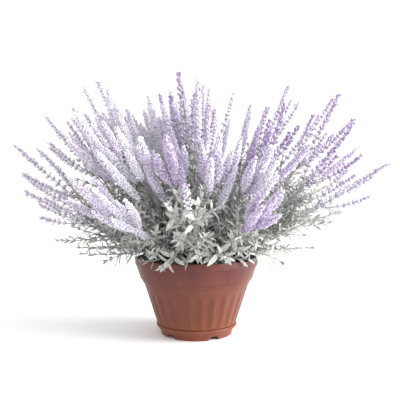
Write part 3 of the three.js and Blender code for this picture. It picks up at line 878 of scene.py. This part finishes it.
class FloweringStem(Foliage):  # follows its stem and panicle nodes
    def __init__(self, number):
        look = floweringStem
        super().__init__(look["seed"] + number)
        self.number = number
        self.stemNode, self.panicleNode = f"stem_{number:02d}", f"flower_panicle_{number:02d}"
        start = ringFoot(nodePoints(self.stemNode), crownCentre)
        points = nodePoints(self.panicleNode)
        self.tip = points[np.argmax(np.linalg.norm(points - crownCentre, axis=1))]
        self.whole = Arc(start, start - crownCentre, self.tip)
        self.tone = look["tones"][number - 1]
        self.flowerShare = look["longFlowers"].get(number, look["flowerShare"])
        self.growSpike = growFullSpike if number in look["fullSpikes"] else growOpenSpike

    def growFlowers(self):  # the main spike and its side spikes
        growth = Growth()
        leafyFoot = sideSpike["leafyFeet"].get(self.number, 0)
        main = Stretch(self.whole, 1 - floweringStem["flowerShare"], 1)
        flowering = Stretch(Stretch(self.whole, 1 - self.flowerShare, 1), leafyFoot, 1)
        girth = floweringStem["girths"][self.number - 1]
        mainGirth = openSpike["wideGirth"] if self.number in openSpike["wideWhorls"] else girth
        self.growSpike(growth, self.rng, flowering, mainGirth, self.tone)
        _, ahead = main.at(0.1)
        tips = spikeTips(self.panicleNode, ahead)
        tips = [tip for tip in tips if np.linalg.norm(tip - self.tip) > sameTip]
        tips.sort(key=lambda tip: -float(tip @ ahead))
        sides = [sideCourse(main, tip) for tip in tips[:len(sideSpike["branches"])]]
        if leafyFoot:
            for course in sides + [Stretch(main, 0, leafyFoot)]:
                self.addTwig(course, branchlet["radius"], sideSpike["leaf"], sideSpike["leafLength"])
            sides = []
        for course in sides:
            tone = self.tone + self.rng.normal(0, sideSpike["toneJitter"])
            self.growSpike(growth, self.rng, course, sideSpike["girth"] * girth, tone)
        flowers = growth.build(f"flower_spikes_{self.number:02d}", materials["flower"])
        finishPiece(flowers, "lilac_flower", self.panicleNode)

    def sprayCourse(self, share, rank):
        point, along, right, front = standAt(self.whole, share)
        turn = rank * spray["turnStep"] + self.number * spray["turnByStem"]
        out = math.cos(turn) * right + math.sin(turn) * front
        angle = self.rng.uniform(*spray["angle"])
        length = (self.rng.uniform(*spray["reach"]) - share) * self.whole.length
        leave = unit(math.cos(angle) * along + math.sin(angle) * out)
        end = point + length * unit(leave + spray["straighten"] * along + upwards(spray["rise"]))
        return Sweep(point, point + leave * length * spray["turn"], end)

    def growSprays(self):
        growth = Growth()
        count = spray["counts"][self.number - 1]
        for rank in range(count):
            share = blendValues(*spray["shares"], (rank + self.rng.uniform(0, 1)) / count)
            course = self.sprayCourse(share, rank)
            stalk = max(spray["shortestStalk"], 1 - spray["flowers"] / course.length)
            tone = spray["tone"] * self.tone + self.rng.normal(0, spray["toneJitter"])
            growSpike = growFullSpike if rank % 2 else self.growSpike
            growSpike(growth, self.rng, Stretch(course, stalk, 1), spray["girths"][rank % 2], tone)
            leaf = branchlet["leaf"]
            self.addTwig(Stretch(course, 0, stalk), branchlet["radius"], leaf, spray["leafLength"])
        if count:
            sprays = growth.build(f"spray_spikes_{self.number:02d}", materials["flower"])
            finishPiece(sprays, "lilac_flower", self.panicleNode)

    def growFoliage(self):  # the stem, its leaves and its leafy side twigs
        look = floweringStem
        flowerFoot = 1 - look["flowerShare"]
        bare = Stretch(self.whole, 0, flowerFoot)
        along = np.linspace(0, 1, 24)
        radii = blendValues(look["footRadius"], look["topRadius"], along ** look["radiusEase"])
        self.wood.add(tubeRings(bare, radii, 8), along=along[None, :, None])
        lastLeaf = min(1, (1 - self.flowerShare) / flowerFoot)
        shares = np.arange(look["firstLeaf"], lastLeaf, look["leafGap"] / bare.length)
        lengths = blendValues(look["leafLow"], look["leafHigh"], shares)
        lengths = lengths * np.interp(shares, *look["leafLengths"])
        growLeafPairs(self.leaves, self.rng, bare, shares, lengths, look["leaf"])
        isFeathery = self.number in branchlet["feathery"]
        count = branchlet["count"] + isFeathery * branchlet["more"]
        for rank in range(count):
            self.growBranchlet(bare, rank, count, branchlet["longer"] if isFeathery else 1)
        self.finish(f"stem_wood_{self.number:02d}", f"stem_leaves_{self.number:02d}", self.stemNode)

    def growBranchlet(self, bare, rank, count, longer):
        look, rng = branchlet, self.rng
        share = blendValues(*look["shares"], (rank + rng.uniform(0, look["jitter"])) / count)
        point, along, right, front = standAt(bare, share)
        turn = rank * look["turnStep"] + rng.uniform(0, look["jitter"])
        out = math.cos(turn) * right + math.sin(turn) * front
        length = rng.uniform(*look["lengths"]) * blendValues(*look["lengthByShare"], share) * longer
        leave = unit(along + out * rng.uniform(*look["spread"]))
        end = point + length * unit(along * look["straighten"] + out + upwards(look["rise"]))
        course = Sweep(point, point + leave * length * look["turn"], end)
        self.addTwig(course, look["radius"], look["leaf"], rng.uniform(*look["leafLengths"]))


leafyShoot = {
    "count": 8,
    "seed": 2000,
    "footRadius": 0.0016,
    "leafLength": 0.031,
    "leaf": {
        "angle": 0.9, "curl": 0.4, "slimness": (0.25, 0.34), "innerShadeReach": (0.048, 0.098),
        "first": 0.16, "gap": 0.0112,
    },
}

# more twigs from the same foot
companion = {
    "count": 9,
    "shares": (0.08, 0.5),
    "lengths": (0.4, 1.1),  # of the shoot's length
    "rises": (0.15, 1.9),
    "lateRise": 0.7,  # of the rise, at the twig's end
    "leaveAside": 0.42,
    "asides": (0.6, 1.2),
    "turn": 0.55,
    "radius": 0.0013,
    "leafLength": 0.78,  # of the shoot's leaves
    "leaf": dict(leafyShoot["leaf"], first=0.12, gap=0.0085),
}


def makeLeafyShoot(number):
    look = leafyShoot
    shoot = Foliage(look["seed"] + number)
    node = f"leafy_shoot_{number:02d}"
    points = nodePoints(node)
    start = ringFoot(points, crownCentre)
    away = np.linalg.norm(points - crownCentre, axis=1)
    order = np.argsort(-away)
    first = points[order[0]]
    second = next(points[i] for i in order if np.linalg.norm(points[i] - first) > sameTip)
    main = Arc(start, start - crownCentre, (first + second) / 2)
    shoot.addTwig(main, look["footRadius"], look["leaf"], look["leafLength"])
    for rank in range(companion["count"]):
        growCompanion(shoot, main, rank)
    shoot.finish(f"leafy_twig_{number:02d}", f"twig_leaves_{number:02d}", node)


def growCompanion(shoot, main, rank):
    look, rng = companion, shoot.rng
    point, along, _, _ = standAt(main, rng.uniform(*look["shares"]))
    sideways = unit(np.cross(along, upwards(1.0))) * (1 if rank % 2 else -1)
    length = main.length * rng.uniform(*look["lengths"])
    rise = rng.uniform(*look["rises"])
    leave = unit(along + sideways * look["leaveAside"] + upwards(rise))
    aside = sideways * rng.uniform(*look["asides"])
    end = point + length * unit(along + aside + upwards(rise * look["lateRise"]))
    course = Sweep(point, point + leave * length * look["turn"], end)
    shoot.addTwig(course, look["radius"], look["leaf"], leafyShoot["leafLength"] * look["leafLength"])


roundingLimit = 0.45  # of each side of a corner
shortestEdge, smallestFace = 1e-7, 1e-14  # what is less goes


def rounded(corners, steps=4):  # corners are (radius, height, rounding)
    line = []
    for i, (radius, height, rounding) in enumerate(corners):
        here = np.array([radius, height])
        if not rounding or i in (0, len(corners) - 1):
            line.append(here)
            continue
        ends = []
        for other in (corners[i - 1], corners[i + 1]):
            reach = np.array(other[:2]) - here
            size = np.linalg.norm(reach)
            ends.append(here + reach / size * min(rounding, size * roundingLimit))
        low, high = ends
        for t in np.linspace(0, 1, steps + 1):
            line.append((1 - t) ** 2 * low + 2 * t * (1 - t) * here + t ** 2 * high)
    return np.array(line)


def refined(line, step):  # adds points so that no stretch is longer than step
    fine = [line[:1]]
    for low, high in zip(line[:-1], line[1:]):
        parts = max(1, int(np.ceil(np.linalg.norm(high - low) / step)))
        fine.append(low + (high - low) * (np.arange(1, parts + 1) / parts)[:, None])
    return np.concatenate(fine)


def spin(name, line, segments, material, shape):  # turns an outline, with shape to press or cut it
    radius, height = (np.repeat(line[:, i:i + 1], segments, axis=1) for i in (0, 1))
    angle = np.repeat(turns(segments)[None], len(line), axis=0)
    radius, height = shape(radius, height, angle)
    points = np.stack([radius * np.cos(angle), radius * np.sin(angle), height], axis=-1)
    piece = Growth().add(points[None]).build(name, material)
    mesh = bmesh.new()
    mesh.from_mesh(piece.data)
    bmesh.ops.remove_doubles(mesh, verts=mesh.verts, dist=samePlace)
    bmesh.ops.dissolve_degenerate(mesh, edges=mesh.edges, dist=shortestEdge)
    flat = [face for face in mesh.faces if face.calc_area() < smallestFace]
    bmesh.ops.delete(mesh, geom=flat, context="FACES")
    mesh.to_mesh(piece.data)
    mesh.free()
    return piece


pot = {
    "node": "pot",
    "lipHeight": 0.0115,
    "lipStep": 0.0018,
    "lipWidth": 0.0032,
    "lipInset": 0.0006,  # of the lip's lower edge
    "lipRise": 0.004,  # from that edge to the full radius
    "collarHeight": 0.0225,
    "collarTaper": 0.0074,
    "collarStep": 0.0022,
    "ringHeight": 0.005,
    "ringTaper": 0.0013,
    "ringStep": 0.0013,
    "shoulderHeight": 0.0092,  # of the seat in the saucer
    "bodyFootRadius": 0.0638,
    "seatInset": 0.0023,
    "seatTaper": 0.003,
    "wall": 0.002,
    "floor": 0.0024,
    "flutes": 26,
    "fluteSegments": 12,
    "fluteDepth": 0.0015,
    "fluteSharpness": 0.8,
    "fluteStart": 0.0015,  # above the shoulder
    "lowFade": 0.003,
    "highFade": 0.010,
    "plainBand": 0.009,  # between the flutes and the ring
    "outerFace": 0.0004,  # how close to the body's outside the flutes press
    "drainHoles": 5,
    "drainRadius": 0.005,
    "drainCircle": 0.034,
    "drainMargin": 0.001,  # that the cutter stands out on both sides of the floor
    "drainLean": 1e-6,  # of the cutter's top, which gives its arc a side to turn to
    "step": 0.0025,
}


def makePot():
    look = pot
    low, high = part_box(look["node"])
    rim, top, foot = (high.y - low.y) / 2, high.z, low.z
    wall, floorTop, bodyFoot = look["wall"], foot + look["floor"], look["bodyFootRadius"]
    lipFoot = top - look["lipHeight"]
    collarFoot = lipFoot - look["collarHeight"]
    ringFootHeight = collarFoot - look["ringHeight"]
    collarTop = rim - look["lipStep"]
    collarLow = collarTop - look["collarTaper"]
    ringTop = collarLow - look["collarStep"]
    ringLow = ringTop - look["ringTaper"]
    bodyTop = ringLow - look["ringStep"]
    shoulder = foot + look["shoulderHeight"]
    seatTop = bodyFoot - look["seatInset"]
    seatLow = seatTop - look["seatTaper"]
    outline = rounded([
        (0, foot, 0),
        (seatLow, foot, 0.002),
        (seatTop, shoulder, 0.0003),
        (bodyFoot, shoulder, 0.0006),
        (bodyTop, ringFootHeight, 0.0012),
        (ringLow, ringFootHeight, 0.0006),
        (ringTop, collarFoot, 0.0008),
        (collarLow, collarFoot, 0.0012),
        (collarTop, lipFoot, 0.0014),
        (rim - look["lipInset"], lipFoot, 0.0012),
        (rim, lipFoot + look["lipRise"], 0.003),
        (rim, top, 0.0016),
        (rim - look["lipWidth"], top, 0.0012),
        (collarTop - look["lipWidth"], lipFoot, 0.002),
        (ringTop - wall, collarFoot, 0.002),
        (bodyTop - wall, ringFootHeight, 0.002),
        (bodyFoot - wall, shoulder + wall, 0.002),
        (seatTop - wall, shoulder, 0.001),
        (seatLow - wall, floorTop, 0.002),
        (0, floorTop, 0),
    ])

    def pressFlutes(radius, height, angle):
        slope = (bodyTop - bodyFoot) / (ringFootHeight - shoulder)
        face = bodyFoot + (height - shoulder) * slope
        onBody = np.abs(radius - face) < look["outerFace"]
        above = height - shoulder - look["fluteStart"]
        below = ringFootHeight - look["plainBand"] - height
        fade = smooth(above / look["lowFade"]) * smooth(below / look["highFade"])
        wave = ((1 - np.cos(look["flutes"] * angle)) / 2) ** look["fluteSharpness"]
        return radius - look["fluteDepth"] * onBody * fade * wave, height

    segments = look["flutes"] * look["fluteSegments"]
    piece = spin("pot_shell", refined(outline, look["step"]), segments, materials["pot"], pressFlutes)
    for angle in turns(look["drainHoles"]):
        cutDrain(piece, angle, foot - look["drainMargin"], floorTop + look["drainMargin"])
    finishPiece(piece, "pot_plastic", look["node"])


def cutDrain(piece, angle, low, high):
    x, y = math.cos(angle) * pot["drainCircle"], math.sin(angle) * pot["drainCircle"]
    bore = Arc((x, y, low), (0, 0, 1), (x, y + pot["drainLean"], high))
    rings = tubeRings(bore, np.full(2, pot["drainRadius"]), 24)
    cutter = Growth().add(rings).build("cutter", materials["pot"])
    cut = piece.modifiers.new("drain", "BOOLEAN")
    cut.object, cut.operation, cut.solver = cutter, "DIFFERENCE", "EXACT"
    bpy.context.view_layer.objects.active = piece
    bpy.ops.object.modifier_apply(modifier=cut.name)
    bpy.data.objects.remove(cutter, do_unlink=True)


saucer = {
    "node": "saucer",
    "wall": 0.0017,
    "lipHeight": 0.0036,
    "lipStep": 0.0011,
    "lipLift": 0.0002,  # of the lip's outer edge over its foot
    "lipInside": 0.0019,
    "footHeight": 0.006,
    "footRadius": 0.0574,
    "footWall": 0.003,
    "footFlare": 0.001,
    "floor": 0.0018,
    "bossRadius": 0.009,
    "seatTaper": 0.003,
    "arches": 5,
    "archBearing": math.radians(-62),
    "archHalfWidth": 0.0082,
    "archHeight": 0.0052,
    "archEnd": 1.12,  # of the half width, where the arch has run out
    "archEase": 0.5,
    "footDepth": 0.0006,  # further in than the foot's wall that an arch still cuts
    "segments": 360,
    "step": 0.0022,
}


def makeSaucer():
    look = saucer
    low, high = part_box(look["node"])
    rim, top = (high.x - low.x) / 2, high.z
    inner = rim - look["wall"]
    lipFoot = top - look["lipHeight"]
    floorTop = look["footHeight"] + look["floor"]
    footInner = look["footRadius"] - look["footWall"]
    seat = inner - look["lipInside"]
    outline = rounded([
        (0, 0, 0),
        (look["bossRadius"], 0, 0.0008),
        (look["bossRadius"], look["footHeight"], 0.001),
        (footInner, look["footHeight"], 0.001),
        (footInner, 0, 0.0008),
        (look["footRadius"], 0, 0.0012),
        (look["footRadius"] + look["footFlare"], look["footHeight"], 0.0015),
        (rim - look["lipStep"], lipFoot, 0.001),
        (rim, lipFoot + look["lipLift"], 0.0009),
        (rim, top, 0.0009),
        (inner, top, 0.0007),
        (seat, top - look["wall"], 0.0008),
        (seat - look["seatTaper"], floorTop, 0.001),
        (0, floorTop, 0),
    ])

    def cutArches(radius, height, angle):
        step = 2 * np.pi / look["arches"]
        away = np.abs((angle - look["archBearing"] + step / 2) % step - step / 2)
        across = away * look["footRadius"] / look["archHalfWidth"]
        arch = look["archHeight"] * smooth((look["archEnd"] - across) / look["archEase"])
        isFoot = (radius > footInner - look["footDepth"]) & (height < look["footHeight"])
        raised = arch + height * (1 - arch / look["footHeight"])
        return radius, np.where(isFoot, raised, height)

    line = refined(outline, look["step"])
    piece = spin("saucer_shell", line, look["segments"], materials["saucer"], cutArches)
    finishPiece(piece, "saucer_plastic", look["node"])


# the colours of the pot and the saucer from the top of the pot to the ground
potPlastic = {
    "name": "pot plastic",
    "high": tint(85, 33, 32),
    "middle": tint(102, 51, 34),
    "low": tint(118, 62, 28),
    "worn": tint(118, 64, 46),
}
saucerPlastic = {
    "name": "saucer plastic",
    "high": tint(122, 64, 42),
    "middle": tint(119, 60, 37),
    "low": tint(112, 53, 32),
    "worn": tint(136, 78, 54),
}
plastic = {
    "fadeHeight": 0.125,
    "cloudScale": 26,
    "streakScale": 60,
    "grainScale": 2200,
    "dustScale": 180,
    "dust": tint(190, 160, 145),
    "gloss": 0.40,
    "roughness": 0.34,
}


def paintPlastic(colours):
    look = plastic
    paint = Paint(colours["name"])
    cloud = paint.noise(look["cloudScale"], 4, 0.6)
    streak = paint.noise(look["streakScale"], 4, 0.6, (1, 1, 0.12))
    grain = paint.noise(look["grainScale"], 2, 0.6)
    dust = paint.band(paint.noise(look["dustScale"], 5, 0.7), 0.52, 0.8)
    low, middle, high = (colours[name] for name in ("low", "middle", "high"))
    fade = paint.ramp(
        paint.height() * (1 / look["fadeHeight"]) + (cloud - 0.5) * 0.25,
        [(0.05, low), (0.35, middle), (0.62, middle), (0.85, high)],
    )
    streaked = paint.mix(paint.band(streak, 0.35, 0.75) * 0.35, fade, colours["worn"])
    return paint.surface({
        "Base Color": paint.mix(dust * 0.1, streaked, look["dust"]),
        "Roughness": look["roughness"] + cloud * 0.14 + dust * 0.18,
        "Specular IOR Level": look["gloss"],
        "Normal": paint.bump(grain * 0.5 + streak * 0.8, 0.18, 0.0004),
    })


soil = {
    "node": "potting_soil",
    "seed": 31,
    "foot": (0.62, 0.66),  # radii of its lower end and just above, as shares of the rim's
    "footHeight": 0.008,
    "side": 0.92,  # radius where the pot's collar starts
    "sideDepth": 0.022,
    "fall": 0.002,  # from the crown to the wall
    "waves": ((260, 130), (240, 150)),  # of the ripples in x and y, and what each next one adds
    "lumps": 0.0009,
    "calm": 0.006,  # width of the edge without lumps
    "topBand": 0.0035,
    "crumbs": 1400,
    "crumbEdge": 0.93,  # share of the bed's area they lie on
    "crumbSize": (0.0008, 0.0028),
    "crumbLength": (0.9, 1.8),
    "crumbThickness": (0.35, 0.6),
    "crumbRoughness": 0.07,
    "crumbRise": 0.1,
    "perliteShare": 0.05,
    "segments": 180,
    "step": 0.0026,
}


def makeSoil():
    look = soil
    rng = np.random.default_rng(look["seed"])
    low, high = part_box(look["node"])
    rim, mound = (high.x - low.x) / 2, high.z
    outline = rounded([
        (0, low.z, 0),
        (rim * look["foot"][0], low.z, 0.002),
        (rim * look["foot"][1], low.z + look["footHeight"], 0.002),
        (rim * look["side"], mound - look["sideDepth"], 0.002),
        (rim, mound - look["fall"], 0.001),
        (crownRadius, mound, 0.002),
        (0, mound, 0),
    ])
    phases = rng.uniform(0, 6.28, (5, 3))[:, :2]
    (xWave, xMore), (yWave, yMore) = look["waves"]

    def heap(radius, height, angle):
        x, y = radius * np.cos(angle), radius * np.sin(angle)
        ripple = sum(
            np.sin(x * (xWave + xMore * i) + a) * np.sin(y * (yWave + yMore * i) + b) / (1 + i)
            for i, (a, b) in enumerate(phases)
        )
        onTop = height > mound - look["topBand"]
        inside = smooth((rim - radius) / look["calm"])
        return radius, height + onTop * inside * look["lumps"] * ripple

    bed = spin("soil_bed", refined(outline, look["step"]), look["segments"], materials["soil"], heap)
    finishPiece(bed, "soil", look["node"])
    scatterCrumbs(rng, rim, mound)


def scatterCrumbs(rng, rim, mound):
    look = soil
    count = look["crumbs"]
    reach = np.sqrt(rng.uniform((crownRadius / rim) ** 2, look["crumbEdge"], count)) * rim
    bearing = rng.uniform(0, 2 * np.pi, count)
    size = rng.uniform(*look["crumbSize"], count)
    share = (reach - crownRadius) / (rim - crownRadius)
    level = mound - look["fall"] * share + size * look["crumbRise"]
    middle = np.stack([reach * np.cos(bearing), reach * np.sin(bearing), level], axis=-1)
    axis = unit(rng.normal(0, 1, (count, 3)) * (1, 1, 0.5))
    length = size * rng.uniform(*look["crumbLength"], count)
    thickness = size * rng.uniform(*look["crumbThickness"], count)
    rings, _ = budRings(budShape, middle - axis * size[:, None] / 2, axis, length, thickness)
    roughness = (size * look["crumbRoughness"])[:, None, None, None]
    rings = rings + rng.normal(0, 1, rings.shape) * roughness
    perlite = (rng.uniform(0, 1, count) < look["perliteShare"]).astype(float)[:, None, None]
    growth = Growth().add(rings, shade=rng.uniform(0, 1, (count, 1, 1)), perlite=perlite)
    finishPiece(growth.build("soil_crumbs", materials["soil"]), "soil", look["node"])


soilPaint = {
    "dark": tint(34, 26, 20),
    "light": tint(66, 52, 41),
    "crumb": tint(84, 66, 50),
    "perlite": tint(205, 200, 190),
    "clumpScale": 190,
    "gritScale": 1500,
}


def paintSoil():
    look = soilPaint
    paint = Paint("potting mix")
    clump = paint.noise(look["clumpScale"], 5, 0.65)
    grit = paint.noise(look["gritScale"], 3, 0.7)
    mixed = paint.mix(paint.band(clump, 0.35, 0.7), look["dark"], look["light"])
    shaded = paint.mix(paint.attribute("shade") * 0.6, mixed, look["crumb"])
    return paint.surface({
        "Base Color": paint.mix(paint.attribute("perlite"), shaded, look["perlite"]),
        "Roughness": 0.85 + grit * 0.15,
        "Specular IOR Level": 0.2,
        "Normal": paint.bump(grit + clump, 0.8, 0.0012),
    })


barkPaint = {
    "dark": tint(84, 73, 60),
    "light": tint(158, 148, 130),
    "ridgeScale": 240,
    "gritScale": 1400,
}


def paintBark():
    look = barkPaint
    paint = Paint("bark")
    ridge = paint.noise(look["ridgeScale"], 5, 0.65, (1, 1, 0.3))
    grit = paint.noise(look["gritScale"], 3, 0.7)
    return paint.surface({
        "Base Color": paint.mix(paint.band(ridge, 0.35, 0.7), look["dark"], look["light"]),
        "Roughness": 0.85 + grit * 0.12,
        "Specular IOR Level": 0.2,
        "Normal": paint.bump(ridge * 1.5 + grit * 0.5, 0.8, 0.001),
    })


def makeCrown():
    look = crown
    angles = np.radians(np.linspace(look["neckAngle"], 0, 26))
    dome = [(crownRadius * math.sin(a), crownCentre[2] + crownRadius * math.cos(a)) for a in angles]
    neck = [(0, crownLow.z), (look["neckRadius"], crownLow.z)]
    line = refined(np.array(neck + dome[:-1] + [(0, crownHigh.z)]), look["step"])

    def furrow(radius, height, angle):
        cord = sum(share * np.sin(angle * around + height * up) for around, up, share in look["ridges"])
        rise = look["ridge"] * cord * smooth(radius / look["ridgeStart"])
        return np.maximum(radius - look["ridge"] + rise, 0), height

    piece = spin("crown_wood", line, look["segments"], materials["bark"], furrow)
    finishPiece(piece, "bark", look["node"])


studio = {
    "cameraPlace": (0.0057, -0.800, 0.2155),
    "lens": 43.9,
    "sensor": 36,
    "floorSize": 40,
    "floorTone": tint(251, 251, 251),
    "sky": 1.0,
    "exposure": 0.1,
    "keyPlace": (2.6, -0.5, 0.85),
    "keySize": 1.8,
    "keyPower": 142,
    "fillPlace": (-0.6, -2.4, 1.9),
    "fillSize": 1.6,
    "fillPower": 5,
}


def place(name, data, location):
    holder = bpy.data.objects.new(name, data)
    holder.location = location
    bpy.context.collection.objects.link(holder)
    return holder


def addLamp(name, target):
    lamp = bpy.data.lights.new(name, "AREA")
    lamp.size, lamp.energy = studio[name + "Size"], studio[name + "Power"]
    holder = place(name, lamp, studio[name + "Place"])
    towards = target - Vector(studio[name + "Place"])
    holder.rotation_euler = towards.to_track_quat("-Z", "Y").to_euler()


def makeFloor():
    half = studio["floorSize"] / 2
    corners = [(-half, -half, 0), (half, -half, 0), (half, half, 0), (-half, half, 0)]
    mesh = bpy.data.meshes.new("floor")
    mesh.from_pydata(corners, [], [(0, 1, 2, 3)])
    look = {"Base Color": studio["floorTone"], "Roughness": 0.9, "Specular IOR Level": 0.1}
    mesh.materials.append(Paint("floor").surface(look))
    floor = place("floor", mesh, (0, 0, 0))


def setStudio():
    camera = bpy.data.cameras.new("camera")
    camera.lens, camera.sensor_width = studio["lens"], studio["sensor"]
    holder = place("camera", camera, studio["cameraPlace"])
    holder.rotation_euler = (math.radians(90), 0, 0)
    bpy.context.scene.camera = holder

    makeFloor()
    world = bpy.data.worlds.new("studio")
    world.use_nodes = True
    sky = world.node_tree.nodes["Background"].inputs
    sky["Color"].default_value = (1, 1, 1, 1)
    sky["Strength"].default_value = studio["sky"]
    bpy.context.scene.world = world
    low, high = cadBox
    for name in ("key", "fill"):
        addLamp(name, (low + high) / 2)
    view = bpy.context.scene.view_settings
    view.view_transform = "Standard"
    view.exposure = studio["exposure"]


materials = {
    "leaf": paintLeaf(),
    "stem": paintStem(),
    "flower": paintFlower(),
    "soil": paintSoil(),
    "bark": paintBark(),
    "pot": paintPlastic(potPlastic),
    "saucer": paintPlastic(saucerPlastic),
}
print("materials painted")

makePot()
makeSaucer()
makeSoil()
makeCrown()
print("pot, saucer, soil and crown made")

for number in range(1, floweringStem["count"] + 1):
    stem = FloweringStem(number)
    stem.growFlowers()
    stem.growSprays()
    stem.growFoliage()
print("flowering stems grown")

for number in range(1, leafyShoot["count"] + 1):
    makeLeafyShoot(number)
print("leafy shoots grown")

setStudio()
print("studio set")
